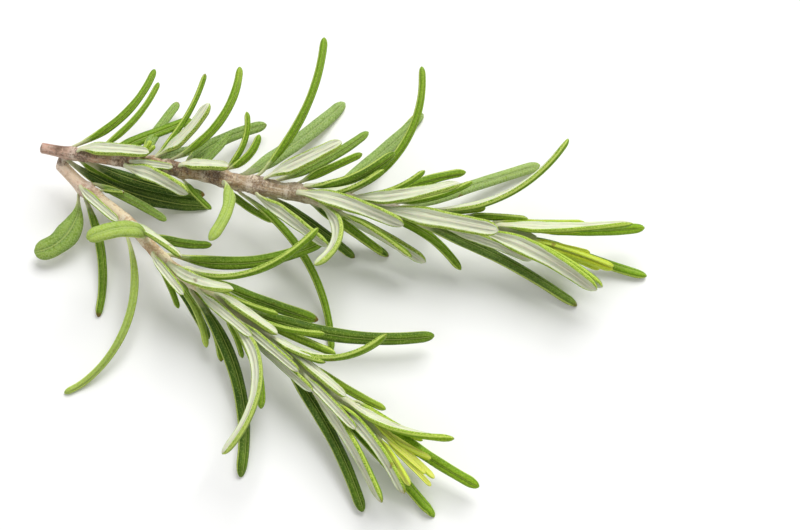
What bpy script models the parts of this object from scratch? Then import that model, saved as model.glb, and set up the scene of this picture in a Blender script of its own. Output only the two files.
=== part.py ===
"""A cut, forked sprig of rosemary lying on a table, in metres with +Z up.

Two woody stems fork near the cut end. Every leaf is a separate closed solid that starts a small
gap away from the bark of its stem. A leaf is described the way it grows: how far along the stem
its foot sits, its clock angle round the stem, how far it leans out from the stem, its length,
its width and how far its face is turned. Leaves that reach the table lie on it.
"""

from math import cos, radians, sin, sqrt

import bmesh
import bpy
from mathutils import Matrix, Vector

MM = 0.001

# Stems: points along the middle of each stem (millimetres, the table is at z = 0).
MAIN_ROUTE = (
    (-74, 26.5, 11), (-66, 24.5, 12), (-47, 21, 13), (-28, 16.5, 13.5), (-12, 13.5, 13),
    (0, 11.5, 12), (10, 10, 11), (20, 8.5, 10), (28, 7, 9.5),
)
SIDE_ROUTE = (
    (-71, 24.5, 8.4), (-65.5, 19, 8), (-56.5, 11.5, 9), (-51, 5.5, 9.5), (-47, 1, 10),
    (-40, -4, 10), (-32, -10.5, 9.5), (-24, -16.5, 9), (-16, -24, 8.5), (-10, -28, 8),
    (-3, -35, 7.5),
)
SPRIG_MIDDLE = Vector((-12.2, -1.3, 0))  # middle of the whole sprig, seen from above
MAIN_RADIUS = (1.1, 1.65, 0.7)  # at the cut end, halfway and at the growing end
SIDE_RADIUS = (1.3, 1.2, 0.7)
ROUTE_STEPS = 5  # straight pieces between two points of a route
STEM_STRETCH = 1.0  # length of the stems against the routes above; the leaves spread with them

# Leaves, in millimetres.
LEAF_LONGER = 1.0  # length of every leaf against the rows below
LEAF_WIDER = 1.0  # width of every leaf against the rows below
LEAF_GAP = 0.3  # clear space between the bark and the foot of a leaf
LEAF_EDGE = 0.4  # thickness of the thinnest leaf
LEAF_PLUMPNESS = 0.32  # thickness added for each millimetre of width
LEAF_FOOT = 0.45  # width of the foot as a share of the widest part
LEAF_NARROWING = 0.2  # how much narrower a leaf gets towards its tip
LEAF_SIDES = 8
LEAF_STATIONS = (0, 0.07, 0.16, 0.28, 0.42, 0.56, 0.7, 0.82, 0.91, 0.965, 0.993)
TIP_START = 0.86  # share of the length where the round tip begins

# One row per leaf: distance of the foot along the stem (mm); clock angle round the stem at the
# foot and at the tip (0 is up, 90 is left when looking along the stem); lean out from the stem
# at the foot and at the tip; length and width (mm); turn of the face towards the sky.
MAIN_LEAVES = (
    (6, -150, -225, 35, 15, 31, 3.6, 0),
    (7, 90, 90, 34, 86, 24, 1.8, 40),
    (9, 15, 0, 12, 5, 15, 3.0, -10),
    (14, 115, 120, 47, 48, 20, 2.4, 45),
    (19, -50, -100, 12, 25, 15, 3.2, -45),
    (25, 60, 75, 38, 72, 15, 2.8, -60),
    (28, 70, 90, 33, 102, 25, 1.9, 45),
    (30, 125, 110, 80, 33, 23, 2.8, 45),
    (39, 65, 75, 50, 115, 13, 1.4, 20),
    (40, -45, -95, 55, 115, 17, 2.6, 70),
    (42, 125, 103, 63, 65, 33, 3.4, 55),
    (43, -130, -107, 20, 77, 39, 1.8, 30),
    (46, 70, 85, 56, 100, 32.5, 1.9, 40),
    (48, 40, 70, 35, 37, 17, 3.2, -55),
    (47, -75, -110, 25, 25, 18, 2.8, -55),
    (49, -160, -145, 30, 35, 22, 2.2, 20),
    (50, 100, 95, 35, 55, 22, 2.2, 45),
    (56, 30, 90, 8, 55, 20, 2.4, 45),
    (55, -15, -90, 15, 15, 23, 3.4, -25),
    (60, -62, -90, 30, 142, 17.5, 3.0, -35),
    (57, -175, -130, 40, 25, 21, 2.2, 20),
    (61, 125, 100, 65, 60, 33, 3.0, 60),
    (62, -145, -120, 15, 25, 22, 2.8, -60),
    (65, 70, 80, 36, 107, 32, 1.8, 45),
    (66, 10, 80, 15, 25, 22, 3.0, -50),
    (71, 105, 90, 45, 20, 20, 2.2, 45),
    (72, -20, -30, 14, 4, 24, 4.0, 0),
    (73, -175, -105, 12, 45, 20, 2.2, 45),
    (76, 125, 96, 42, 30, 34, 2.8, 55),
    (82, 40, 85, 8, 68, 33, 2.2, -10),
    (80, -150, -102, 10, 26, 37, 2.6, 50),
    (92, -45, -110, 14, 28, 27, 3.8, -45),
    (96, 15, 65, 8, 17, 27, 2.8, -15),
    (98, -65, -100, 8, 30, 22, 2.6, -30),
    (101, 85, 95, 6, 18, 25, 2.6, 40),
    (101, 170, 212, 20, 5, 28, 2.4, -10),
)
SIDE_LEAVES = (
    (8.5, -110, -105, 45, 140, 16, 5.2, 70),
    (9.5, -135, -98, 32, 61, 25, 2.0, 35),
    (22, -108, -108, 20, 112, 39, 1.7, 40),
    (26, 115, 110, 34, 62, 12.5, 2.0, 30),
    (27, 0, -100, 92, 112, 16, 3.8, 80),
    (31, 180, 210, 20, 30, 19, 2.2, 0),
    (33, 92, 86, 25, 72, 32, 2.8, 50),
    (34, -160, -105, 10, 45, 18, 1.6, 30),
    (38, 35, 95, 10, 88, 31, 2.6, 0),
    (35, -10, 60, 10, 28, 16, 2.6, 35),
    (41, -128, -94, 16, 64, 40, 3.0, 40),
    (40, 130, 110, 20, 20, 26, 2.8, 30),
    (50, 110, 85, 16, 48, 41, 3.0, 50),
    (51, -45, -110, 8, 98, 33, 2.6, -35),
    (52, -85, -110, 8, 56, 19, 2.2, 35),
    (65, -120, -118, 8, 32, 34, 2.8, 45),
    (64, 45, 80, 8, 85, 22, 2.4, 0),
    (73, -75, -125, 8, 28, 27, 3.0, -40),
    (81, 0, 85, 8, 38, 23, 2.4, 0),
    (77, -127, -114, 16, 20, 31, 2.6, 45),
    (77.5, -62, -100, 10, 35, 24, 2.6, -40),
    (86, 110, 95, 8, 18, 25, 2.6, 45),
)

# Colours (linear), roughness.
BARK = ((0.31, 0.17, 0.11), 0.8)
YOUNG_BARK = ((0.62, 0.46, 0.27), 0.75)
OLD_LEAF = (0.07, 0.19, 0.02)
NEW_LEAF = (0.30, 0.45, 0.06)
LEAF_ROUGHNESS = 0.5


class Stem:
    """A smooth line through a route, measured by distance along it, with its thickness."""

    def __init__(self, route, radii):
        points = [stretch(Vector(point) - SPRIG_MIDDLE) for point in route]
        before = 2 * points[0] - points[1]
        after = 2 * points[-1] - points[-2]
        chain = [before, *points, after]
        self.points = [
            spline(chain[i:i + 4], step / ROUTE_STEPS)
            for i in range(len(points) - 1)
            for step in range(ROUTE_STEPS)
        ]
        self.points.append(points[-1])
        self.distances = [0.0]
        for a, b in zip(self.points, self.points[1:]):
            self.distances.append(self.distances[-1] + (b - a).length)
        self.length = self.distances[-1]
        self.radii = radii

    def place(self, distance):
        """The point at a distance along the stem, on the straight piece that holds it."""
        for i in range(len(self.points) - 1):
            if distance <= self.distances[i + 1] or i == len(self.points) - 2:
                share = (distance - self.distances[i]) / (self.distances[i + 1] - self.distances[i])
                return self.points[i].lerp(self.points[i + 1], share)

    def direction(self, distance):
        reach = 1.0
        return (self.place(distance + reach) - self.place(distance - reach)).normalized()

    def radius(self, distance):
        start, middle, end = self.radii
        half = self.length / 2
        if distance < half:
            return start + (middle - start) * distance / half
        return middle + (end - middle) * (distance - half) / half


def stretch(point):
    return Vector((point.x * STEM_STRETCH, point.y * STEM_STRETCH, point.z))


def spline(four, t):
    """A point between the second and third of four points, on a curve that passes through both."""
    a, b, c, d = four
    return 0.5 * (2 * b + (c - a) * t + (2 * a - 5 * b + 4 * c - d) * t**2
                  + (3 * b - a - 3 * c + d) * t**3)


def width_share(u):
    """Half-width of a leaf at a share u of its length, from a narrow foot to a round tip."""
    swell = min(u / 0.3, 1)
    share = LEAF_FOOT + (1 - LEAF_FOOT) * swell * swell * (3 - 2 * swell)
    share *= 1 - LEAF_NARROWING * u * u
    if u > TIP_START:
        share *= sqrt(1 - ((u - TIP_START) / (1 - TIP_START)) ** 2)
    return share


def thickness_share(u):
    return min(1, 1.3 * width_share(u))


def leaf_line(stem, foot, roll, lean, length, thickness):
    """Points along the middle of a leaf, from its foot to its tip, and the stem's direction."""
    along = stem.direction(foot)
    up = (Vector((0, 0, 1)) - along * along.z).normalized()
    left = up.cross(along)

    def outward(angle):
        return up * cos(radians(angle)) + left * sin(radians(angle))

    point = stem.place(foot) + outward(roll[0]) * (stem.radius(foot) + LEAF_GAP + thickness / 2)
    steps = 4 * len(LEAF_STATIONS)
    line = [point]
    for i in range(steps):
        share = (i + 0.5) / steps
        tilt = radians(lean[0] + (lean[1] - lean[0]) * share)
        side = outward(roll[0] + (roll[1] - roll[0]) * share)
        point = point + (along * cos(tilt) + side * sin(tilt)) * (length / steps)
        line.append(point)
    for i, point in enumerate(line):
        point.z = max(point.z, thickness / 2 * thickness_share(i / steps))
    return line, along


def leaf_rings(stem, row):
    """A frame for each station of a leaf: its middle, its half-width and its half-thickness."""
    foot, roll_foot, roll_tip, lean_foot, lean_tip, length, width, turn = row
    width *= LEAF_WIDER
    thickness = LEAF_EDGE + LEAF_PLUMPNESS * width
    line, along = leaf_line(stem, foot * STEM_STRETCH, (roll_foot, roll_tip),
                            (lean_foot, lean_tip), length * LEAF_LONGER, thickness)
    turning = radians(-turn if sin(radians(roll_foot)) > 0 else turn)
    rings = []
    for u in LEAF_STATIONS:
        at = u * (len(line) - 1)
        i = min(int(at), len(line) - 2)
        middle = line[i].lerp(line[i + 1], at - i)
        ahead = (line[min(i + 2, len(line) - 1)] - line[max(i - 1, 0)]).normalized()
        face = (along - ahead * along.dot(ahead)).normalized()
        face = Matrix.Rotation(turning * min(u / 0.3, 1), 3, ahead) @ face
        across = face.cross(ahead)
        half_width = width / 2 * width_share(u)
        half_thickness = thickness / 2 * thickness_share(u)
        reach = sqrt((half_width * across.z) ** 2 + (half_thickness * face.z) ** 2)
        middle.z = max(middle.z, reach)
        frame = Matrix((across * half_width, face * half_thickness, ahead)).transposed().to_4x4()
        frame.translation = middle
        rings.append(Matrix.Scale(MM, 4) @ frame)
    return rings


def leaf_mesh(rings):
    """A round outline drawn at the foot, extruded from station to station and closed."""
    bm = bmesh.new()
    bmesh.ops.create_circle(bm, segments=LEAF_SIDES, radius=1, matrix=rings[0])
    edges = bm.edges[:]
    bmesh.ops.contextual_create(bm, geom=edges)
    for last, frame in zip(rings, rings[1:]):
        grown = bmesh.ops.extrude_edge_only(bm, edges=edges)["geom"]
        verts = [g for g in grown if isinstance(g, bmesh.types.BMVert)]
        bmesh.ops.transform(bm, matrix=frame @ last.inverted(), verts=verts)
        edges = [g for g in grown if isinstance(g, bmesh.types.BMEdge)
                 and all(v in verts for v in g.verts)]
    bmesh.ops.contextual_create(bm, geom=edges)
    bmesh.ops.recalc_face_normals(bm, faces=bm.faces[:])
    mesh = bpy.data.meshes.new("leaf")
    bm.to_mesh(mesh)
    bm.free()
    return mesh


def material(name, colour, roughness):
    made = bpy.data.materials.new(name)
    made.use_nodes = True
    shader = made.node_tree.nodes["Principled BSDF"]
    shader.inputs["Base Color"].default_value = (*colour, 1)
    shader.inputs["Roughness"].default_value = roughness
    shader.inputs["Metallic"].default_value = 0
    return made


def add_leaf(name, stem, row, collection):
    mesh = leaf_mesh(leaf_rings(stem, row))
    youth = (row[0] / stem.length) ** 2
    colour = [old + (new - old) * youth for old, new in zip(OLD_LEAF, NEW_LEAF)]
    mesh.materials.append(material(name, colour, LEAF_ROUGHNESS))
    collection.objects.link(bpy.data.objects.new(name, mesh))


def add_stem(name, stem, look, collection):
    """A tube with filled ends along the stem, a little thicker or thinner as it goes."""
    curve = bpy.data.curves.new(name, "CURVE")
    curve.dimensions = "3D"
    curve.bevel_depth = MM
    curve.bevel_resolution = 2
    curve.use_fill_caps = True
    path = curve.splines.new("POLY")
    path.points.add(len(stem.points) - 1)
    for spot, point, distance in zip(path.points, stem.points, stem.distances):
        spot.co = (*(point * MM), 1)
        spot.radius = stem.radius(distance)
    curve.materials.append(material(name, *look))
    collection.objects.link(bpy.data.objects.new(name, curve))


def build():
    for old in list(bpy.data.objects):
        bpy.data.objects.remove(old, do_unlink=True)
    collection = bpy.data.collections.new("rosemary_sprig")
    bpy.context.scene.collection.children.link(collection)
    shoots = (
        ("main", MAIN_ROUTE, MAIN_RADIUS, BARK, MAIN_LEAVES),
        ("side", SIDE_ROUTE, SIDE_RADIUS, YOUNG_BARK, SIDE_LEAVES),
    )
    for shoot, route, radii, look, leaves in shoots:
        stem = Stem(route, radii)
        add_stem(shoot + "_stem", stem, look, collection)
        for number, row in enumerate(leaves, 1):
            add_leaf(f"{shoot}_leaf_{number:02d}", stem, row, collection)


build()
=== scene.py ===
"""The looks of a cut, forked rosemary sprig: rolled leaves, felted undersides, ridged bark.

Sizes are in millimetres until a mesh is made; the frame and every mesh are in metres.
"""

import random
from math import cos, exp, pi, radians, sin, sqrt

import bmesh
import bpy
from mathutils import Matrix, Vector


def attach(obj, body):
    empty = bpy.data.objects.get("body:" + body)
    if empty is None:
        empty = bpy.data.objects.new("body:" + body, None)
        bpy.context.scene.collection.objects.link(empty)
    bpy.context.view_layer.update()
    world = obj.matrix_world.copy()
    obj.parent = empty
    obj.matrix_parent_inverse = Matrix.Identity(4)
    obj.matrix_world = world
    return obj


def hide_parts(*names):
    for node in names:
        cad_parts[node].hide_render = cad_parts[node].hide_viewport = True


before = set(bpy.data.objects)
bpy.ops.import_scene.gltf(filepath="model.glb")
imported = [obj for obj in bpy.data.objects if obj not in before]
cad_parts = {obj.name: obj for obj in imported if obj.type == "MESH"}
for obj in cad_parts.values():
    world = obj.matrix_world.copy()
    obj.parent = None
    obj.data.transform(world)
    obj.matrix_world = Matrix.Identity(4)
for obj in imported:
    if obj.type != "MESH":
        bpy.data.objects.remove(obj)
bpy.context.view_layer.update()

MM = 0.001

# Stems: the routes of the solids, in millimetres above the table.
MAIN_ROUTE = (
    (-74, 26.5, 11), (-66, 24.5, 12), (-47, 21, 13), (-28, 16.5, 13.5), (-12, 13.5, 13),
    (0, 11.5, 12), (10, 10, 11), (20, 8.5, 10), (28, 7, 9.5),
)
SIDE_ROUTE = (
    (-71, 24.5, 8.4), (-65.5, 19, 8), (-56.5, 11.5, 9), (-51, 5.5, 9.5), (-47, 1, 10),
    (-40, -4, 10), (-32, -10.5, 9.5), (-24, -16.5, 9), (-16, -24, 8.5), (-10, -28, 8),
    (-3, -35, 7.5),
)
FORK_ROUTE = ((-70.2, 23.6, 8.2), (-69.6, 24.6, 9.8), (-68.6, 25.2, 11.9))  # from side to main
SPRIG_MIDDLE = Vector((-12.2, -1.3, 0))
MAIN_RADIUS = (1.1, 1.65, 0.7)  # at the cut end, halfway and at the growing end
SIDE_RADIUS = (1.3, 1.2, 0.7)
FORK_RADIUS = (1.2, 1.15, 1.3)
ROUTE_STEPS = 5  # straight pieces between two points of a route

LEAF_GAP = 0.3  # clear space between the bark and the foot of a solid leaf
LEAF_EDGE = 0.4  # thickness of the thinnest solid leaf
LEAF_PLUMPNESS = 0.32  # thickness added for each millimetre of width
LEAF_FOOT = 0.45  # width of the foot as a share of the widest part
LEAF_NARROWING = 0.2  # how much narrower a leaf gets towards its tip

# One row per leaf: foot along the stem; clock angle at foot and tip; lean at foot and tip;
# length, width; turn of the face towards the sky.
MAIN_LEAVES = (
    (6, -150, -225, 35, 15, 31, 3.6, 0),
    (7, 90, 90, 34, 86, 24, 1.8, 40),
    (9, 15, 0, 12, 5, 15, 3.0, -10),
    (14, 115, 120, 47, 48, 20, 2.4, 45),
    (19, -50, -100, 12, 25, 15, 3.2, -45),
    (25, 60, 75, 38, 72, 15, 2.8, -60),
    (28, 70, 90, 33, 102, 25, 1.9, 45),
    (30, 125, 110, 80, 33, 23, 2.8, 45),
    (39, 65, 75, 50, 115, 13, 1.4, 20),
    (40, -45, -95, 55, 115, 17, 2.6, 70),
    (42, 125, 103, 63, 65, 33, 3.4, 55),
    (43, -130, -107, 20, 77, 39, 1.8, 30),
    (46, 70, 85, 56, 100, 32.5, 1.9, 40),
    (48, 40, 70, 35, 37, 17, 3.2, -55),
    (47, -75, -110, 25, 25, 18, 2.8, -55),
    (49, -160, -145, 30, 35, 22, 2.2, 20),
    (50, 100, 95, 35, 55, 22, 2.2, 45),
    (56, 30, 90, 8, 55, 20, 2.4, 45),
    (55, -15, -90, 15, 15, 23, 3.4, -25),
    (60, -62, -90, 30, 142, 17.5, 3.0, -35),
    (57, -175, -130, 40, 25, 21, 2.2, 20),
    (61, 125, 100, 65, 60, 33, 3.0, 60),
    (62, -145, -120, 15, 25, 22, 2.8, -60),
    (65, 70, 80, 36, 107, 32, 1.8, 45),
    (66, 10, 80, 15, 25, 22, 3.0, -50),
    (71, 105, 90, 45, 20, 20, 2.2, 45),
    (72, -20, -30, 14, 4, 24, 4.0, 0),
    (73, -175, -105, 12, 45, 20, 2.2, 45),
    (76, 125, 96, 42, 30, 34, 2.8, 55),
    (82, 40, 85, 8, 68, 33, 2.2, -10),
    (80, -150, -102, 10, 26, 37, 2.6, 50),
    (92, -45, -110, 14, 28, 27, 3.8, -45),
    (96, 15, 65, 8, 17, 27, 2.8, -15),
    (98, -65, -100, 8, 30, 22, 2.6, -30),
    (101, 85, 95, 6, 18, 25, 2.6, 40),
    (101, 170, 212, 20, 5, 28, 2.4, -10),
)
SIDE_LEAVES = (
    (8.5, -110, -105, 45, 140, 16, 5.2, 70),
    (9.5, -135, -98, 32, 61, 25, 2.0, 35),
    (22, -108, -108, 20, 112, 39, 1.7, 40),
    (26, 115, 110, 34, 62, 12.5, 2.0, 30),
    (27, 0, -100, 92, 112, 16, 3.8, 80),
    (31, 180, 210, 20, 30, 19, 2.2, 0),
    (33, 92, 86, 25, 72, 32, 2.8, 50),
    (34, -160, -105, 10, 45, 18, 1.6, 30),
    (38, 35, 95, 10, 88, 31, 2.6, 0),
    (35, -10, 60, 10, 28, 16, 2.6, 35),
    (41, -128, -94, 16, 64, 40, 3.0, 40),
    (40, 130, 110, 20, 20, 26, 2.8, 30),
    (50, 110, 85, 16, 48, 41, 3.0, 50),
    (51, -45, -110, 8, 98, 33, 2.6, -35),
    (52, -85, -110, 8, 56, 19, 2.2, 35),
    (65, -120, -118, 8, 32, 34, 2.8, 45),
    (64, 45, 80, 8, 85, 22, 2.4, 0),
    (73, -75, -125, 8, 28, 27, 3.0, -40),
    (81, 0, 85, 8, 38, 23, 2.4, 0),
    (77, -127, -114, 16, 20, 31, 2.6, 45),
    (77.5, -62, -100, 10, 35, 24, 2.6, -40),
    (86, 110, 95, 8, 18, 25, 2.6, 45),
)

# Small leaves and bud leaves, which have no solid of their own.
MAIN_SMALL_LEAVES = (
    (8, -169, -163, 43, 24, 10, 1.8, 0),
    (12, 93, 97, 46, 84, 20, 1.4, 35),
    (21, 60, 80, 40, 80, 3.5, 1.0, 0),
    (21.5, 25, 60, 30, 60, 4, 1.0, 0),
    (21, 119, 114, 90, 77, 20, 2.2, 50),
    (22.5, 130, 109, 43, 33, 12.5, 2.2, 40),
    (24, 88, 76, 58, 85, 20.5, 1.3, 20),
    (30.5, 10, 33, 16, 4, 10, 2.6, 0),
    (31, -120, -110, 40, 30, 8, 1.4, 20),
    (32.5, 127, 109, 79, 75, 14, 2.0, 50),
    (39.3, -153, -131, 42, 10, 12.5, 1.6, 20),
    (39.5, 63, 85, 27, 95, 10, 1.8, 40),
    (54.5, 71, 73, 35, 35, 14, 1.8, 50),
    (57, 0, 93, 8, 49, 16.5, 1.8, 0),
    (60, -154, -136, 35, 29, 16, 2.0, 20),
    (67, 46, 78, 11, 52, 14.5, 1.6, 10),
    (75, 64, 86, 11, 42, 16, 1.6, 20),
    (84, 60, 80, 8, 20, 9, 1.8, 30),
    (89, 85, 90, 8, 6, 13, 1.8, 20),
    (101.5, 93, 101, 4, 22, 19, 1.4, 20),
    (102.5, -60, -90, 2, 12, 18, 1.6, 0),
    (103, 40, 60, 10, 15, 10, 1.4, 0),
    (103.5, 180, 180, 8, 0, 12, 1.4, 0),
    (10, -165, -205, 30, 12, 25, 2.6, 10),
    (20, -20, -25, 10, 6, 9, 1.8, 0),
    (64, -110, -112, 14, 30, 17, 2.0, -20),
    (86, -75, -95, 8, 16, 18, 2.2, -35),
    (95, 95, 100, 8, 14, 19, 1.8, 30),
    (102.5, -80, -88, 5, 10, 18, 1.7, 60),
    (103, -100, -98, 4, 15, 15, 1.5, 60),
)
SIDE_SMALL_LEAVES = (
    (8.5, -25, -22, 20, 4, 12.6, 2.0, 0),
    (9.4, 85, 100, 16, 5, 17.5, 2.0, 45),
    (12, 60, 70, 25, 30, 5, 1.2, 0),
    (22.6, 7, 58, 24, 4, 14.7, 1.8, 0),
    (29, -171, -142, 32, 32, 12.3, 1.4, 10),
    (36.4, -155, -100, 8, 52, 20, 1.8, 40),
    (44.7, 52, 81, 6, 23, 14.4, 1.6, 0),
    (50, -130, -110, 20, 40, 9, 1.2, 20),
    (53.4, 50, 88, 6, 37, 16.6, 1.6, 10),
    (53.4, -31, -38, 9, 8, 16.3, 2.0, 0),
    (60.9, 13, 71, 6, 21, 12, 1.8, -10),
    (62, -20, -20, 10, 5, 5, 1.0, 0),
    (69.1, 99, 104, 6, 22, 18, 1.8, 40),
    (79.2, 174, 196, 5, 2, 20, 1.4, 0),
    (84.7, 20, 3, 4, 4, 19, 1.4, 0),
    (90, 30, 60, 12, 22, 11, 1.4, 0),
    (90, -40, -60, 14, 20, 12, 1.6, 0),
    (91, 0, 20, 16, 2, 11, 1.2, 0),
    (91.5, -10, -20, 8, 10, 13, 1.2, 0),
    (31, -35, -30, 9, 6, 12, 2.0, -10),
    (43, -40, -34, 9, 7, 15, 2.2, -15),
    (46.5, 22, 30, 8, 5, 15, 2.2, 5),
    (56, 85, 80, 9, 14, 17, 2.0, 20),
    (57, -65, -62, 9, 8, 17, 2.2, -20),
    (66, 20, 24, 7, 6, 14, 2.2, 0),
    (71, -35, -40, 7, 8, 15, 2.0, -10),
    (82, 70, 76, 7, 14, 15, 1.8, 10),
)

# How green a leaf is: 0 is old and dark, 1 is new and yellow. The low values on side_leaf_06, 11,
# 12, 13 and 16, which lie under others, are painted shade. Leaves not named grow newer towards the
# end of their stem.
OWN_TONE_AND_SHADE = {
    "main_leaf_01": 0.05, "main_leaf_02": 0.4, "main_leaf_04": 0.38, "main_leaf_07": 0.55,
    "main_leaf_08": 0.3, "main_leaf_09": 0.55, "main_leaf_10": 0.8, "main_leaf_12": 0.42,
    "main_leaf_13": 0.45, "main_leaf_16": 0.12, "main_leaf_17": 0.4, "main_leaf_18": 0.22,
    "main_leaf_19": 0.5, "main_leaf_20": 0.7, "main_leaf_21": 0.12, "main_leaf_24": 0.5,
    "main_leaf_26": 0.5, "main_leaf_28": 0.5, "main_leaf_30": 0.5, "main_leaf_31": 0.2,
    "main_leaf_32": 0.4, "main_leaf_33": 0.45, "main_leaf_34": 0.5, "main_leaf_35": 0.42,
    "main_leaf_36": 0.3, "main_small_leaf_03": 0.8, "main_small_leaf_04": 0.75,
    "main_small_leaf_20": 0.85, "main_small_leaf_21": 0.9, "main_small_leaf_22": 1.0,
    "main_small_leaf_23": 0.9, "main_small_leaf_24": 0.05, "main_small_leaf_29": 1.0,
    "main_small_leaf_30": 1.0, "side_leaf_01": 0.6, "side_leaf_02": 0.25,
    "side_leaf_03": 0.8, "side_leaf_04": 0.25, "side_leaf_05": 0.76, "side_leaf_06": 0.1,
    "side_leaf_07": 0.3, "side_leaf_08": 0.75, "side_leaf_09": 0.5, "side_leaf_10": 0.6,
    "side_leaf_11": 0.12, "side_leaf_12": 0.25, "side_leaf_13": 0.2, "side_leaf_14": 0.65,
    "side_leaf_15": 0.5, "side_leaf_16": 0.12, "side_leaf_17": 0.5, "side_leaf_18": 0.3,
    "side_leaf_19": 0.5, "side_leaf_20": 0.3, "side_leaf_21": 0.45, "side_leaf_22": 0.42,
    "side_small_leaf_15": 1.0, "side_small_leaf_16": 0.95, "side_small_leaf_17": 0.95,
    "side_small_leaf_18": 1.0, "side_small_leaf_19": 1.0,
}

# Leaves given a grey-green cast, partly a bloom of short hairs and partly painted sheen where their
# tops face the light; the others have a little.
OWN_BLOOM_AND_SHEEN = {
    "main_leaf_01": 0.1, "main_leaf_08": 0.5, "main_leaf_10": 0.5, "main_leaf_11": 0.75,
    "main_leaf_17": 0.3, "main_leaf_20": 0.35, "main_leaf_22": 0.7, "main_leaf_29": 0.8,
    "main_leaf_31": 0.2, "side_leaf_01": 0.5, "side_leaf_03": 0.5, "side_leaf_05": 0.5,
    "side_leaf_08": 0.3, "side_leaf_14": 0.3, "side_small_leaf_02": 0.4,
    "main_small_leaf_05": 0.5, "main_small_leaf_06": 0.9,
    "main_small_leaf_10": 0.5,
}


class Stem:
    """A smooth line through a route, measured by distance along it, with its thickness."""

    def __init__(self, route, radii):
        points = [Vector(point) - SPRIG_MIDDLE for point in route]
        chain = [2 * points[0] - points[1], *points, 2 * points[-1] - points[-2]]
        self.points = [
            spline(chain[i:i + 4], step / ROUTE_STEPS)
            for i in range(len(points) - 1)
            for step in range(ROUTE_STEPS)
        ]
        self.points.append(points[-1])
        self.distances = [0.0]
        for a, b in zip(self.points, self.points[1:]):
            self.distances.append(self.distances[-1] + (b - a).length)
        self.length = self.distances[-1]
        self.radii = radii

    def place(self, distance):
        for i in range(len(self.points) - 1):
            if distance <= self.distances[i + 1] or i == len(self.points) - 2:
                share = (distance - self.distances[i]) / (self.distances[i + 1] - self.distances[i])
                return self.points[i].lerp(self.points[i + 1], share)

    def direction(self, distance):
        reach = 1.0
        return (self.place(distance + reach) - self.place(distance - reach)).normalized()

    def radius(self, distance):
        start, middle, end = self.radii
        half = self.length / 2
        if distance < half:
            return start + (middle - start) * distance / half
        return middle + (end - middle) * (distance - half) / half

    def outward(self, distance, angle):
        """The direction out of the bark at a clock angle, 0 being up."""
        along = self.direction(distance)
        up = (Vector((0, 0, 1)) - along * along.z).normalized()
        return up * cos(radians(angle)) + up.cross(along) * sin(radians(angle))


def spline(four, t):
    a, b, c, d = four
    return 0.5 * (2 * b + (c - a) * t + (2 * a - 5 * b + 4 * c - d) * t**2
                  + (3 * b - a - 3 * c + d) * t**3)


def ease(x):
    x = min(max(x, 0), 1)
    return x * x * (3 - 2 * x)


def bump(x, middle, width):
    return exp(-((x - middle) / width) ** 2)


# ---------------------------------------------------------------- meshes

def loft(name, rings, heights, values):
    """A closed skin through rings of points: a circle extruded from ring to ring.

    The UV map runs from 0 to 2 round a ring and along the heights; values are kept on the points.
    """
    count = len(rings[0])
    bm = bmesh.new()
    place = bm.verts.layers.int.new("place")
    station = bm.verts.layers.int.new("station")
    kept = {key: bm.verts.layers.float.new(key) for key in values}
    bmesh.ops.create_circle(bm, segments=count, radius=1)
    bm.verts.ensure_lookup_table()
    for i, vert in enumerate(bm.verts):
        vert[place] = i
        vert.co = rings[0][i] * MM
        for key, layer in kept.items():
            vert[layer] = values[key][0]
    edges = bm.edges[:]
    bmesh.ops.contextual_create(bm, geom=edges)
    for row, ring in enumerate(rings[1:], 1):
        grown = bmesh.ops.extrude_edge_only(bm, edges=edges)["geom"]
        verts = {g for g in grown if isinstance(g, bmesh.types.BMVert)}
        for vert in verts:
            vert.co = ring[vert[place]] * MM
            vert[station] = row
            for key, layer in kept.items():
                vert[layer] = values[key][row]
        edges = [g for g in grown if isinstance(g, bmesh.types.BMEdge)
                 and all(v in verts for v in g.verts)]
    bmesh.ops.contextual_create(bm, geom=edges)
    bmesh.ops.recalc_face_normals(bm, faces=bm.faces[:])
    uv = bm.loops.layers.uv.new("skin")
    for face in bm.faces:
        face.smooth = True
        wraps = max(v[place] for v in face.verts) - min(v[place] for v in face.verts) > count / 2
        for loop in face.loops:
            turn = loop.vert[place]
            if wraps and turn < count / 2:
                turn += count
            loop[uv].uv = (2 * turn / count, heights[loop.vert[station]])
    mesh = bpy.data.meshes.new(name)
    bm.to_mesh(mesh)
    bm.free()
    piece = bpy.data.objects.new(name, mesh)
    bpy.context.scene.collection.objects.link(piece)
    return piece


# ---------------------------------------------------------------- leaves

SECTION_POINTS = 28
FOOT_STATIONS = 5
MIDDLE_STATIONS = 26
TIP_STATIONS = 9
PATH_STEPS = 48
FOOT_END = 0.06  # share of a leaf's length that its foot takes up
PATH_END = 0.9985  # the last ring of the tip, short of a point
PATH_REACH = 0.02  # how far ahead and behind a leaf's direction is read
SHEATH = 1.8  # how far the foot of a leaf runs back into the bark
ROLL_LEAST = 0.6  # rolled margins make a leaf thicker: for no width, for each mm of it, at most
ROLL_FOR_WIDTH = 0.4
ROLL_MOST = 1.6
BLUNTNESS = 0.95  # length of the round tip against the leaf's width
BLUNT_MOST = 0.15  # and the largest share of the leaf's length that it takes up
TWIST_END = 0.3  # share of the length over which a leaf turns its face


def width_share(u, width, blunt):
    """Half a leaf's outline: a narrow foot, nearly parallel sides and a blunt round tip.

    A broad leaf has a stalk, so its foot is narrower for its width and widens further out.
    """
    foot = min(LEAF_FOOT, 1.2 / width)
    share = foot + (1 - foot) * ease(u / (0.28 + 0.1 * max(width - 3, 0)))
    share *= 1 - LEAF_NARROWING * max(u, 0) ** 2
    if u > 1 - blunt:
        share *= sqrt(max(0, 1 - ((u - 1 + blunt) / blunt) ** 2))
    return share


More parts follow.
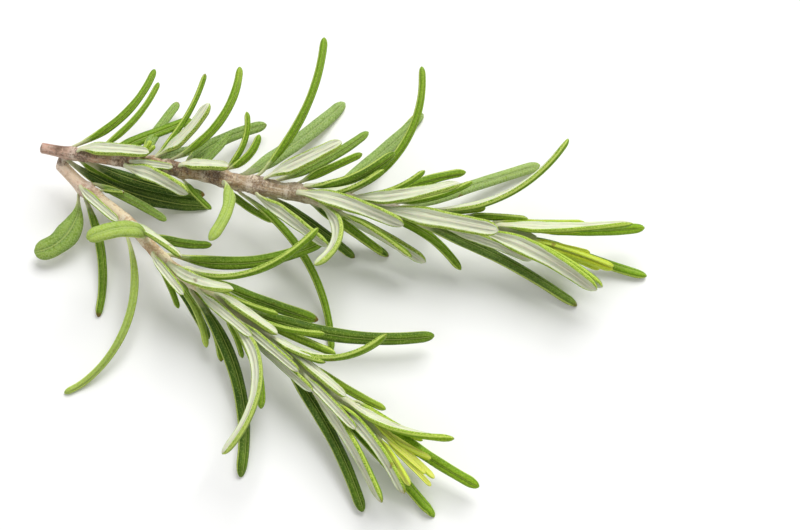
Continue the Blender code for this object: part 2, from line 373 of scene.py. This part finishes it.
def section(form):
    """The outline of a cut leaf: arched above with a groove, margins rolled under, a midrib."""
    points = []
    for i in range(SECTION_POINTS):
        turn = 2 * i / SECTION_POINTS
        if turn < 1:
            x = -cos(pi * turn)
            y = 0.95 * (1 - x * x) ** 0.45 - 0.36 * form * bump(x, 0, 0.17)
        else:
            x = cos(pi * (turn - 1))
            a = abs(x)
            rolled = -0.85 * sqrt(max(0, 1 - ((a - 0.74) / 0.26) ** 2))
            channel = -0.3 - 0.42 * bump(x, 0, 0.16)
            plain = -0.85 * sqrt(max(0, 1 - a * a))
            y = rolled if a > 0.5 else channel
            y = plain + (y - plain) * form
        points.append((x, y))
    return points


def leaf_path(stem, row, thickness):
    """Points from inside the bark to the tip, each with its share of the length; the foot is 0."""
    foot, roll_foot, roll_tip, lean_foot, lean_tip, length, width, _ = row
    along = stem.direction(foot)
    start = stem.place(foot) + stem.outward(foot, roll_foot) * (
        stem.radius(foot) + LEAF_GAP + thickness / 2)
    back = [
        (-SHEATH / length, stem.place(foot - SHEATH)
         + stem.outward(foot, roll_foot) * stem.radius(foot) * 0.6),
        (-0.5 * SHEATH / length, stem.place(foot - 0.6 * SHEATH)
         + stem.outward(foot, roll_foot) * stem.radius(foot) * 0.9),
    ]
    point = start
    path = [(0, point)]
    for i in range(PATH_STEPS):
        share = (i + 0.5) / PATH_STEPS
        lean = radians(lean_foot + (lean_tip - lean_foot) * share)
        side = stem.outward(foot, roll_foot + (roll_tip - roll_foot) * share)
        point = point + (along * cos(lean) + side * sin(lean)) * (length / PATH_STEPS)
        path.append(((i + 1) / PATH_STEPS, point))
    for share, point in path:
        point.z = max(point.z, thickness / 2 * min(1, 1.3 * width_share(share, width, 0.08)))
    return back + path, along


def on_path(path, u):
    """The point at a share u of a leaf's length."""
    for (u0, p0), (u1, p1) in zip(path, path[1:]):
        if u <= u1:
            return p0.lerp(p1, (u - u0) / (u1 - u0))
    return path[-1][1]


def leaf_shares(first, blunt):
    """Where the rings of a leaf go, as shares of its length, closer together at foot and tip."""
    shares = [first + (FOOT_END - first) * i / FOOT_STATIONS for i in range(FOOT_STATIONS)]
    straight = 1 - FOOT_END - blunt
    shares += [FOOT_END + straight * i / MIDDLE_STATIONS for i in range(MIDDLE_STATIONS)]
    shares += [1 - blunt * cos(pi / 2 * i / (TIP_STATIONS - 1)) for i in range(TIP_STATIONS)]
    shares[-1] = PATH_END
    return shares


def leaf_piece(name, stem, row, tone, bloom_and_sheen, rng):
    """One leaf; its width waves and its face sways a little, each leaf in its own way."""
    length, width, turn = row[5:]
    thickness = LEAF_EDGE + LEAF_PLUMPNESS * width
    path, along = leaf_path(stem, row, thickness)
    rolled = min(ROLL_LEAST + ROLL_FOR_WIDTH * width, ROLL_MOST)
    blunt = min(BLUNTNESS * width / length, BLUNT_MOST)
    turning = radians(-turn if sin(radians(row[1])) > 0 else turn)
    first = path[0][0]
    shares = leaf_shares(first, blunt)
    wave = rng.uniform(0, 2 * pi)
    sway = rng.uniform(-0.25, 0.25)
    rings = []
    for u in shares:
        middle = on_path(path, u)
        ahead = on_path(path, min(u + PATH_REACH, 1)) - on_path(path, max(u - PATH_REACH, first))
        ahead.normalize()
        face = (along - ahead * along.dot(ahead)).normalized()
        twist = turning * min(max(u, 0) / TWIST_END, 1) + sway * max(u, 0)
        face = Matrix.Rotation(twist, 3, ahead) @ face
        across = face.cross(ahead)
        swell = 1 + 0.035 * sin(9 * u + wave) + 0.02 * sin(23 * u + 2 * wave)
        half_width = width / 2 * width_share(u, width, blunt) * swell
        half_thickness = rolled / 2 * min(1, 1.2 * width_share(u, width, blunt))
        form = ease(u / 0.12) * (1 - 0.7 * ease((u - 0.9) / 0.1))
        ring = [across * (x * half_width) + face * (y * half_thickness) for x, y in section(form)]
        lowest = min(point.z for point in ring)
        middle = Vector((middle.x, middle.y, max(middle.z, -lowest)))
        rings.append([middle + point for point in ring])
    values = {
        "tone": [tone + 0.1 * ease((u - 0.6) / 0.4) for u in shares],
        "bloom_and_sheen": [bloom_and_sheen] * len(shares),
        "chance": [rng.random()] * len(shares),
    }
    return loft(name, rings, shares, values)


# ---------------------------------------------------------------- stems

BARK_POINTS = 32
BARK_STEP = 0.45
MAIN_NODES = (7, 16, 26.5, 35, 44.5, 52.5, 60, 68, 79, 90)
SIDE_NODES = (9, 20, 27, 33.5, 40, 51, 62, 72, 80)
FORK_NODES = (1.2, 2.6)
# Dark patches on the bark: on the main stem and the fork collar painted shade in the crotch under
# the fork; on the side stem a real orange-brown stain.
MAIN_CROTCH_SHADE = 4  # distance along the stem of painted shade in the crotch under the fork
SIDE_STAIN = 29.5
FORK_CROTCH_SHADE = 2
FURROW_COUNTS = (4, 4, 7, 9, 13)
FURROW_DEPTH = 0.018  # depths and swellings are shares of the stem's radius
RING_SWELL = 0.07
RING_DIP = 0.03
CUSHION_SWELL = 0.28
CUSHION_TAIL = 0.10
TAPER = 4  # length of the narrowing growing end
SHOULDER = 1.2  # length of the rounding at an end that isn't cut


def bark_piece(name, stem, feet, nodes, stain_and_shade, cut, seed):
    """The bark round a stem: furrows, a ring at every node and a cushion under every leaf.

    A cut end is a shallow dish; a dark patch darkens the bark round one distance along the stem:
    painted shade in the crotch of the fork on the main stem and collar, a real stain on the side
    stem.
    """
    rng = random.Random(seed)
    furrows = [(count, rng.uniform(0, 2 * pi), rng.uniform(-0.05, 0.05))
               for count in FURROW_COUNTS]
    last = stem.length
    stations = [i * BARK_STEP for i in range(int(last / BARK_STEP) + 1)]
    rings = []
    for s in stations:
        radius = stem.radius(s)
        if s > last - TAPER:
            radius *= sqrt(max(0.02, 1 - ((s - last + TAPER) / (TAPER + 0.2)) ** 2))
        if s < SHOULDER and not cut:
            radius *= sqrt(max(0.1, 1 - ((SHOULDER - s) / (SHOULDER + 0.1)) ** 2))
        middle = stem.place(s)
        ring = []
        for i in range(BARK_POINTS):
            angle = 360 * i / BARK_POINTS
            swell = 1.0
            for count, phase, drift in furrows:
                swell += FURROW_DEPTH * sin(count * radians(angle) + phase + drift * s)
            for node in nodes:
                swell += RING_SWELL * bump(s, node, 0.55) - RING_DIP * bump(s, node - 1.3, 0.7)
            for foot, roll in feet:
                if abs(s - foot) < 5:
                    near = max(0, cos(radians(angle - roll))) ** 3
                    swell += CUSHION_SWELL * near * bump(s, foot - 0.6, 1.1)
                    swell += CUSHION_TAIL * near * ease(foot - s) * ease((5 + s - foot) / 4)
            ring.append(middle + stem.outward(s, angle) * radius * swell)
        rings.append(ring)
    if cut:
        start = rings[0]
        middle = stem.place(0)
        along = stem.direction(0)
        dish = [
            [middle + (point - middle) * size + along * depth for point in start]
            for size, depth in ((0.15, 0.12), (0.5, 0.05), (0.8, 0.0), (0.93, -0.02))
        ]
        rings = dish + rings
        stations = [-0.04, -0.03, -0.02, -0.01] + stations
    values = {
        "reach": [max(s, 0) / stem.length for s in stations],
        "ring": [max(bump(s, node, 0.7) for node in nodes) for s in stations],
        "band": [max(bump(s, node + 2.2, 1.6) for node in nodes) for s in stations],
        "stain_and_shade": [bump(s, stain_and_shade, 1.9) for s in stations],
    }
    return loft(name, rings, [s / 10 for s in stations], values)


# ---------------------------------------------------------------- materials

def tint(red, green, blue):
    """A colour from its everyday 0 to 255 values, as the light values that a shader wants."""
    def light(value):
        value /= 255
        return value / 12.92 if value <= 0.04045 else ((value + 0.055) / 1.055) ** 2.4
    return (light(red), light(green), light(blue), 1)


def grey(value):
    return (value, value, value, 1)


# The grey-green of hair bloom and of painted sheen on the tops of leaves.
BLOOM_AND_SHEEN_GREEN = tint(168, 188, 130)
MIDRIB = tint(232, 228, 204)
FELT_HAIR = tint(238, 238, 222)
LEAF_BASE = tint(214, 214, 176)
BARK_FELT = tint(232, 222, 208)


class Patch:
    """Adds nodes to a tree; a socket, a number or a colour can go into any input."""

    def __init__(self, tree):
        self.tree = tree

    def add(self, kind, inputs=None, **settings):
        made = self.tree.nodes.new(kind)
        for key, value in settings.items():
            setattr(made, key, value)
        for key, value in (inputs or {}).items():
            self.put(made.inputs[key], value)
        return made

    def put(self, socket, value):
        if isinstance(value, bpy.types.NodeSocket):
            self.tree.links.new(value, socket)
        else:
            socket.default_value = value

    def math(self, operation, a, b=0.0, c=0.0):
        made = self.add("ShaderNodeMath", {0: a, 1: b, 2: c}, operation=operation)
        return made.outputs[0]

    def between(self, value, low, high):
        """0 below low, 1 above high and smooth between; low above high turns it round."""
        made = self.add("ShaderNodeMapRange", interpolation_type="SMOOTHSTEP")
        self.put(made.inputs["Value"], value)
        self.put(made.inputs["From Min"], low)
        self.put(made.inputs["From Max"], high)
        return made.outputs["Result"]

    def mix(self, share, a, b, blend="MIX"):
        made = self.add("ShaderNodeMix", data_type="RGBA", blend_type=blend)
        self.put(made.inputs[0], share)
        self.put(made.inputs[6], a)
        self.put(made.inputs[7], b)
        return made.outputs[2]

    def blend(self, share, a, b):
        made = self.add("ShaderNodeMix", data_type="FLOAT")
        self.put(made.inputs[0], share)
        self.put(made.inputs[2], a)
        self.put(made.inputs[3], b)
        return made.outputs[0]

    def noise(self, vector, scale, detail=2.0, rough=0.5):
        made = self.add("ShaderNodeTexNoise", {
            "Vector": vector, "Scale": scale, "Detail": detail, "Roughness": rough})
        return made.outputs[0]

    def cells(self, vector, scale, smooth=0.6):
        made = self.add("ShaderNodeTexVoronoi", {"Vector": vector, "Scale": scale},
                        feature="SMOOTH_F1")
        self.put(made.inputs["Smoothness"], smooth)
        return made.outputs["Distance"]

    def vector(self, x, y, z):
        return self.add("ShaderNodeCombineXYZ", {0: x, 1: y, 2: z}).outputs[0]

    def ramp(self, value, stops):
        made = self.add("ShaderNodeValToRGB", {0: value})
        points = made.color_ramp.elements
        points[0].position, points[0].color = stops[0]
        points[1].position, points[1].color = stops[-1]
        for place, colour in stops[1:-1]:
            points.new(place).color = colour
        return made.outputs[0]


def group(name, inputs, outputs):
    tree = bpy.data.node_groups.new(name, "ShaderNodeTree")
    for label, kind in inputs:
        tree.interface.new_socket(label, in_out="INPUT", socket_type="NodeSocket" + kind)
    for label, kind in outputs:
        tree.interface.new_socket(label, in_out="OUTPUT", socket_type="NodeSocket" + kind)
    return tree


def leaf_skin_group():
    """Colour, roughness and height of a rosemary leaf, green above and felted below."""
    tree = group(
        "leaf skin",
        (("Around", "Float"), ("Along", "Float"), ("Tone", "Float"), ("Bloom_And_Sheen", "Float"),
         ("Chance", "Float"), ("Place", "Vector"), ("Old", "Color"), ("Ripe", "Color"),
         ("New", "Color"), ("Felt", "Color"), ("Vein", "Color"), ("Margin", "Color"),
         ("Dry", "Color")),
        (("Colour", "Color"), ("Roughness", "Float"), ("Height", "Float")),
    )
    p = Patch(tree)
    got = p.add("NodeGroupInput").outputs
    turn = p.math("MULTIPLY", got["Around"], pi)
    across = p.math("MULTIPLY", p.math("COSINE", turn), -1.0)
    side = p.math("ABSOLUTE", across)
    upper = p.math("SINE", turn)
    wobble = p.math("MULTIPLY_ADD", p.noise(got["Place"], 700.0), 0.16, -0.08)
    along_mm = p.math("MULTIPLY", got["Along"], 25.0)

    # Above: two arched strips, pebbled, each side of a groove, with painted shade and painted
    # highlights laid over their green.
    pebbles = p.cells(got["Place"], 3000.0, 0.4)
    cloud = p.noise(got["Place"], 260.0, 3.0, 0.6)
    shifted = p.math("ADD", got["Tone"], p.math("MULTIPLY_ADD", cloud, 0.36, -0.18))
    green = p.mix(p.between(shifted, 0.0, 0.5), got["Old"], got["Ripe"])
    green = p.mix(p.between(shifted, 0.5, 1.0), green, got["New"])
    # The colour of painted shade: the old green, or the ripe green on the newest leaves.
    shade = p.mix(p.between(got["Tone"], 0.6, 0.95), got["Old"], got["Ripe"])
    # Painted relief light on the pebbles: painted shade in the gaps between them, painted glints on
    # their middles.
    green = p.mix(p.math("MULTIPLY", p.between(pebbles, 0.42, 0.8), 0.3), green, shade)
    green = p.mix(p.math("MULTIPLY", p.between(pebbles, 0.34, 0.12), 0.32), green, got["Margin"])
    # A painted highlight along the crest of each arched strip.
    painted_ridge_highlight = p.math("MULTIPLY", p.between(side, 0.22, 0.4), p.between(side, 0.66, 0.46))
    green = p.mix(p.math("MULTIPLY", painted_ridge_highlight, 0.1), green, got["Margin"])
    # Painted shade on the flanks, where the strips curve down towards the margins.
    green = p.mix(p.math("MULTIPLY", p.between(side, 0.7, 0.92), 0.35), green, shade)
    # Painted shade in the groove, with a pale line along its bottom.
    middle = p.math("ADD", side, p.math("MULTIPLY", wobble, 0.2))
    green = p.mix(p.math("MULTIPLY", p.between(middle, 0.26, 0.10), 0.45), green, shade)
    green = p.mix(p.math("MULTIPLY", p.between(middle, 0.09, 0.03), 0.5), green, got["Margin"])
    # A grey-green cast on the tops, partly a bloom of hairs and partly painted sheen, strongest on
    # the middles of the pebbles.
    bloom_and_sheen = p.math("MULTIPLY", got["Bloom_And_Sheen"], p.between(pebbles, 1.3, 0.1))
    green = p.mix(bloom_and_sheen, green, BLOOM_AND_SHEEN_GREEN)

    # Below: felt with fine lines, a pale midrib, and green margins rolled over it.
    line = p.noise(p.vector(p.math("MULTIPLY", across, 5.0), p.math("MULTIPLY", along_mm, 0.09),
                            got["Chance"]), 1.6, 3.0, 0.6)
    felt = p.mix(p.between(line, 0.46, 0.66), got["Felt"], got["Vein"])
    felt = p.mix(p.math("MULTIPLY", p.between(side, 0.12, 0.04), 0.7), felt, MIDRIB)
    newest = p.math("MULTIPLY", p.between(got["Tone"], 0.72, 0.95), 0.8)
    felt = p.mix(newest, felt, got["New"])
    fuzz = p.noise(got["Place"], 5200.0, 2.0, 0.7)
    felt = p.mix(p.math("MULTIPLY", p.between(fuzz, 0.5, 0.8), 0.35), felt, FELT_HAIR)
    rolled = p.between(p.math("ADD", side, wobble), 0.66, 0.80)
    rim = p.mix(p.between(fuzz, 0.4, 0.7), green, got["Margin"])
    below = p.mix(rolled, felt, rim)

    top = p.between(p.math("ADD", upper, wobble), -0.16, 0.10)
    # A painted rim light: a bright line along the margins where the top meets the rolled edge.
    painted_rim = p.between(p.math("ABSOLUTE", p.math("ADD", upper, 0.06)), 0.28, 0.04)
    painted_rim = p.math("MULTIPLY", painted_rim, p.between(side, 0.5, 0.9))
    colour = p.mix(top, below, green)
    colour = p.mix(p.math("MULTIPLY", painted_rim, 0.55), colour, got["Margin"])

    # The foot is pale; the tips dry to brown on the older leaves, with a few spots.
    foot = p.between(p.math("ADD", got["Along"], wobble), 0.16, 0.0)
    colour = p.mix(p.math("MULTIPLY", foot, 0.75), colour, LEAF_BASE)
    tip = p.between(p.math("MULTIPLY_ADD", wobble, 0.35, got["Along"]), 0.955, 0.995)
    old = p.between(got["Tone"], 0.75, 0.3)
    brown = p.math("MULTIPLY", p.math("MULTIPLY", tip, old), p.between(got["Chance"], 0.5, 0.9))
    colour = p.mix(brown, colour, got["Dry"])
    spots = p.between(p.noise(got["Place"], 330.0, 1.0, 0.4), 0.70, 0.76)
    spots = p.math("MULTIPLY", spots, p.between(got["Chance"], 0.55, 0.9))
    colour = p.mix(p.math("MULTIPLY", spots, 0.7), colour, got["Dry"])

    shine = p.blend(cloud, 0.36, 0.52)
    roughness = p.blend(top, 0.9, p.blend(bloom_and_sheen, shine, 0.75))
    ridge = p.blend(top, p.math("MULTIPLY_ADD", line, 0.8, p.math("MULTIPLY", fuzz, 0.5)),
                    p.math("SUBTRACT", 1.0, p.math("MULTIPLY", pebbles, 1.3)))
    out = p.add("NodeGroupOutput").inputs
    p.put(out["Colour"], colour)
    p.put(out["Roughness"], roughness)
    p.put(out["Height"], ridge)
    return tree


def bark_skin_group():
    """Colour, roughness and height of young bark: lengthwise streaks, felt and dark mottles."""
    tree = group(
        "bark skin",
        (("Around", "Float"), ("Along", "Float"), ("Bark", "Color"), ("Streak", "Color"),
         ("Mottle", "Color"), ("Mottled", "Float"), ("Felted", "Float"),
         ("Ring", "Float"), ("Band", "Float"), ("Stain_And_Shade", "Float"), ("Darkened side", "Float")),
        (("Colour", "Color"), ("Roughness", "Float"), ("Height", "Float")),
    )
    p = Patch(tree)
    got = p.add("NodeGroupInput").outputs
    turn = p.math("MULTIPLY", got["Around"], pi)
    east, north = p.math("COSINE", turn), p.math("SINE", turn)
    drawn = p.vector(east, north, p.math("MULTIPLY", got["Along"], 0.12))
    plain = p.vector(east, north, got["Along"])
    streak = p.noise(drawn, 3.4, 4.0, 0.65)
    fine = p.noise(p.vector(east, north, p.math("MULTIPLY", got["Along"], 0.25)), 9.0, 3.0, 0.7)
    blotch = p.noise(plain, 1.5, 4.0, 0.7)
    colour = p.mix(p.between(streak, 0.42, 0.66), got["Bark"], got["Streak"])
    uneven = p.math("MULTIPLY_ADD", got["Band"], 0.16, blotch)
    dark = p.math("MULTIPLY", p.between(uneven, 0.50, 0.66), got["Mottled"])
    colour = p.mix(dark, colour, got["Mottle"])
    felt = p.math("MULTIPLY", p.between(fine, 0.48, 0.66), got["Felted"])
    ring = p.math("MULTIPLY", got["Ring"], p.between(blotch, 0.62, 0.42))
    felt = p.math("MAXIMUM", felt, p.math("MULTIPLY", ring, 0.6))
    colour = p.mix(felt, colour, BARK_FELT)
    # A dark patch on one side: painted shade under the fork on the brown bark, a real stain on the
    # pale young bark.
    faced = p.between(p.math("MULTIPLY", p.math("SINE", p.math("ADD", turn, 0.6)),
                             got["Darkened side"]), -0.2, 0.6)
    stain_and_shade = p.math("MULTIPLY", p.math("MULTIPLY", got["Stain_And_Shade"], faced), p.between(blotch, 0.3, 0.5))
    colour = p.mix(p.math("MULTIPLY", stain_and_shade, 0.85), colour, got["Mottle"])
    out = p.add("NodeGroupOutput").inputs
    p.put(out["Colour"], colour)
    p.put(out["Roughness"], p.blend(felt, 0.62, 0.92))
    p.put(out["Height"], p.math("ADD", streak, p.math("MULTIPLY", fine, 0.6)))
    return tree


def material(name):
    made = bpy.data.materials.new(name)
    made.use_nodes = True
    made.node_tree.nodes.clear()
    return made, Patch(made.node_tree)


def finish_material(patch, skin, depth, **sockets):
    """The shader at the end of a material; its plain values are set on its own sockets."""
    shader = patch.add("ShaderNodeBsdfPrincipled", {
        "Base Color": skin.outputs["Colour"], "Roughness": skin.outputs["Roughness"]})
    relief = patch.add("ShaderNodeBump", {
        "Height": skin.outputs["Height"], "Distance": depth, "Strength": 0.8})
    patch.put(shader.inputs["Normal"], relief.outputs[0])
    for label, value in sockets.items():
        shader.inputs[label.replace("_", " ")].default_value = value
    end = patch.add("ShaderNodeOutputMaterial")
    patch.put(end.inputs["Surface"], shader.outputs[0])


def leaf_material(name, skin_tree, old, ripe, new, felt, vein, margin_and_highlight, dry):
    made, p = material(name)
    uv = p.add("ShaderNodeUVMap", uv_map="skin").outputs[0]
    uv = p.add("ShaderNodeSeparateXYZ", {0: uv}).outputs
    place = p.add("ShaderNodeTexCoord").outputs["Object"]
    skin = p.add("ShaderNodeGroup", node_tree=skin_tree)
    p.put(skin.inputs["Around"], uv[0])
    p.put(skin.inputs["Along"], uv[1])
    p.put(skin.inputs["Place"], place)
    for label in ("tone", "bloom_and_sheen", "chance"):
        read = p.add("ShaderNodeAttribute", attribute_name=label)
        p.put(skin.inputs[label.title()], read.outputs["Fac"])
    colours = {"Old": old, "Ripe": ripe, "New": new, "Felt": felt, "Vein": vein,
               "Margin": margin_and_highlight, "Dry": dry}
    for label, colour in colours.items():
        p.put(skin.inputs[label], colour)
    finish_material(
        p, skin, 0.00007, Subsurface_Weight=0.15, Subsurface_Radius=(0.6, 1.0, 0.1),
        Subsurface_Scale=0.0006, Specular_IOR_Level=0.15)
    return made


def bark_material(name, skin_tree, stops, streaks, mottle, mottled, felted, darkened_side):
    """Stops give the colours of bark and streaks at shares of the stem's length.

    The darkened side is 1 for a dark patch below, -1 for one above; below it is painted shade in
    the crotch of the fork, above a real stain.
    """
    made, p = material(name)
    uv = p.add("ShaderNodeUVMap", uv_map="skin").outputs[0]
    uv = p.add("ShaderNodeSeparateXYZ", {0: uv}).outputs
    reach = p.add("ShaderNodeAttribute", attribute_name="reach").outputs["Fac"]
    skin = p.add("ShaderNodeGroup", node_tree=skin_tree)
    p.put(skin.inputs["Around"], uv[0])
    p.put(skin.inputs["Along"], p.math("MULTIPLY", uv[1], 10.0))
    p.put(skin.inputs["Bark"], p.ramp(reach, stops))
    p.put(skin.inputs["Streak"], p.ramp(reach, streaks))
    p.put(skin.inputs["Mottle"], mottle)
    p.put(skin.inputs["Mottled"], p.ramp(reach, mottled))
    p.put(skin.inputs["Felted"], felted)
    p.put(skin.inputs["Darkened side"], darkened_side)
    for label in ("ring", "band", "stain_and_shade"):
        read = p.add("ShaderNodeAttribute", attribute_name=label)
        p.put(skin.inputs[label.title()], read.outputs["Fac"])
    finish_material(
        p, skin, 0.00012, Subsurface_Weight=0.1, Subsurface_Radius=(1.0, 0.5, 0.3),
        Subsurface_Scale=0.0005, Sheen_Weight=0.15, Sheen_Roughness=0.5)
    return made


# ---------------------------------------------------------------- the sprig

def grow_leaves(prefix, stem, rows, small_rows, seed, leaf, young_leaf, young_from):
    """Every leaf of one stem; the first rows stand in for solids, the small ones are new."""
    rng = random.Random(seed)
    for number, row in enumerate((*rows, *small_rows), 1):
        small = number > len(rows)
        name = f"{prefix}_leaf_{number:02}"
        if small:
            name = f"{prefix}_small_leaf_{number - len(rows):02}"
        newest = row[0] / stem.length
        tone = OWN_TONE_AND_SHADE.get(name, 0.36 + 0.4 * newest ** 2 + rng.uniform(-0.14, 0.14))
        bloom_and_sheen = OWN_BLOOM_AND_SHEEN.get(name, 0.05)
        piece = leaf_piece(name if small else "leafy_" + name, stem, row, tone, bloom_and_sheen, rng)
        young = row[0] > young_from
        piece.data.materials.append(young_leaf if young else leaf)
        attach(piece, "root")
        if not small:
            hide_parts(name)


def build():
    skin = leaf_skin_group()
    # The margin-and-highlight colour paints the pale leaf margins and also the painted highlights,
    # glints and rim light on the tops.
    leaf = leaf_material(
        "rolled green leaf", skin, old=tint(46, 78, 0), ripe=tint(122, 160, 16),
        new=tint(184, 204, 66), felt=tint(219, 225, 195), vein=tint(184, 184, 156),
        margin_and_highlight=tint(212, 228, 120), dry=tint(122, 94, 44))
    young_leaf = leaf_material(
        "young yellow green leaf", skin, old=tint(60, 102, 0), ripe=tint(136, 176, 14),
        new=tint(220, 226, 62), felt=tint(222, 228, 196), vein=tint(188, 188, 160),
        margin_and_highlight=tint(212, 230, 108), dry=tint(144, 118, 54))
    bark = bark_skin_group()
    brown_bark = bark_material(
        "streaked brown bark", bark,
        stops=((0.0, tint(186, 134, 112)), (0.06, tint(178, 140, 118)),
               (0.12, tint(186, 140, 106)), (0.25, tint(160, 122, 78)),
               (0.45, tint(158, 130, 92)), (0.55, tint(186, 162, 122)),
               (0.75, tint(204, 190, 172)), (0.9, tint(210, 202, 180)),
               (1.0, tint(190, 200, 130))),
        streaks=((0.0, tint(214, 180, 160)), (0.12, tint(216, 190, 160)),
                 (0.35, tint(200, 178, 146)), (0.5, tint(214, 200, 172)),
                 (0.7, tint(222, 212, 200)), (0.9, tint(224, 218, 200)),
                 (1.0, tint(206, 212, 150))),
        mottle=tint(92, 64, 40),
        mottled=((0.0, grey(0.8)), (0.35, grey(0.9)), (0.6, grey(0.35)), (0.75, grey(0.05))),
        felted=0.4, darkened_side=1.0)
    young_bark = bark_material(
        "pale young bark", bark,
        stops=((0.0, tint(232, 208, 182)), (0.06, tint(230, 202, 168)),
               (0.1, tint(206, 172, 160)), (0.14, tint(234, 214, 176)),
               (0.3, tint(226, 204, 158)), (0.5, tint(214, 208, 160)),
               (0.8, tint(206, 212, 160)), (1.0, tint(190, 204, 130))),
        streaks=((0.0, tint(236, 212, 190)), (0.3, tint(238, 222, 184)),
                 (1.0, tint(222, 226, 180))),
        mottle=tint(168, 118, 74),
        mottled=((0.0, grey(0.45)), (0.2, grey(0.7)), (0.38, grey(0.6)), (0.5, grey(0.1))),
        felted=0.4, darkened_side=-1.0)

    main = Stem(MAIN_ROUTE, MAIN_RADIUS)
    side = Stem(SIDE_ROUTE, SIDE_RADIUS)
    main_feet = [(row[0], row[1]) for row in (*MAIN_LEAVES, *MAIN_SMALL_LEAVES)]
    side_feet = [(row[0], row[1]) for row in (*SIDE_LEAVES, *SIDE_SMALL_LEAVES)]
    stems = (
        ("main", main, main_feet, MAIN_NODES, MAIN_CROTCH_SHADE, True, 5, brown_bark, "brown_bark"),
        ("side", side, side_feet, SIDE_NODES, SIDE_STAIN, False, 6, young_bark, "young_bark"),
    )
    for prefix, stem, feet, nodes, stain_and_shade, cut, seed, finish, slot in stems:
        piece = bark_piece(f"{prefix}_bark", stem, feet, nodes, stain_and_shade, cut, seed)
        piece.data.materials.append(finish)
        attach(piece, "root")
        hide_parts(f"{prefix}_stem")
    fork = Stem(FORK_ROUTE, FORK_RADIUS)
    collar = bark_piece("fork_collar", fork, [], FORK_NODES, FORK_CROTCH_SHADE, True, 7)
    collar.data.materials.append(brown_bark)
    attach(collar, "root")
    grow_leaves("main", main, MAIN_LEAVES, MAIN_SMALL_LEAVES, 11, leaf, young_leaf, 90)
    grow_leaves("side", side, SIDE_LEAVES, SIDE_SMALL_LEAVES, 12, leaf, young_leaf, 72.5)


# ---------------------------------------------------------------- the studio

CAMERA_AIM = Vector((0.0122, 0.0013, 0.012))
CAMERA_DISTANCE = 0.380
CAMERA_TILT = radians(22)  # away from straight down
WORLD_STRENGTH = 0.4


def studio():
    """A plain pale floor, a large soft light behind, a weak one in front and the camera."""
    scene = bpy.context.scene
    scene.view_settings.view_transform = "Standard"
    bm = bmesh.new()
    bmesh.ops.create_grid(bm, x_segments=1, y_segments=1, size=3)
    mesh = bpy.data.meshes.new("floor")
    bm.to_mesh(mesh)
    bm.free()
    floor = bpy.data.objects.new("floor", mesh)
    scene.collection.objects.link(floor)
    pale, p = material("pale paper")
    shader = p.add("ShaderNodeBsdfPrincipled", {"Base Color": (0.93, 0.93, 0.925, 1),
                                                "Roughness": 0.8})
    end = p.add("ShaderNodeOutputMaterial")
    p.put(end.inputs["Surface"], shader.outputs[0])
    mesh.materials.append(pale)

    world = bpy.data.worlds.new("studio")
    scene.world = world
    world.use_nodes = True
    world.node_tree.nodes["Background"].inputs["Color"].default_value = grey(1)
    world.node_tree.nodes["Background"].inputs["Strength"].default_value = WORLD_STRENGTH

    softbox("key", (0.3, 0.7, 1.05), 0.85, 16)
    softbox("fill", (-0.7, -0.5, 0.9), 1.0, 2.2)

    lens = bpy.data.cameras.new("camera")
    lens.lens = 85
    lens.sensor_width = 36
    lens.clip_start = 0.01
    camera = bpy.data.objects.new("camera", lens)
    away = Vector((0, -sin(CAMERA_TILT), cos(CAMERA_TILT)))
    camera.location = CAMERA_AIM + away * CAMERA_DISTANCE
    camera.rotation_euler = (CAMERA_TILT, 0, 0)
    scene.collection.objects.link(camera)
    scene.camera = camera


def softbox(name, place, size, power):
    """A square area light at a place in metres, turned to the middle of the floor."""
    light = bpy.data.lights.new(name, "AREA")
    light.size = size
    light.energy = power
    lamp = bpy.data.objects.new(name, light)
    lamp.location = place
    lamp.rotation_euler = (-Vector(place)).to_track_quat("-Z", "Y").to_euler()
    bpy.context.scene.collection.objects.link(lamp)


build()
studio()
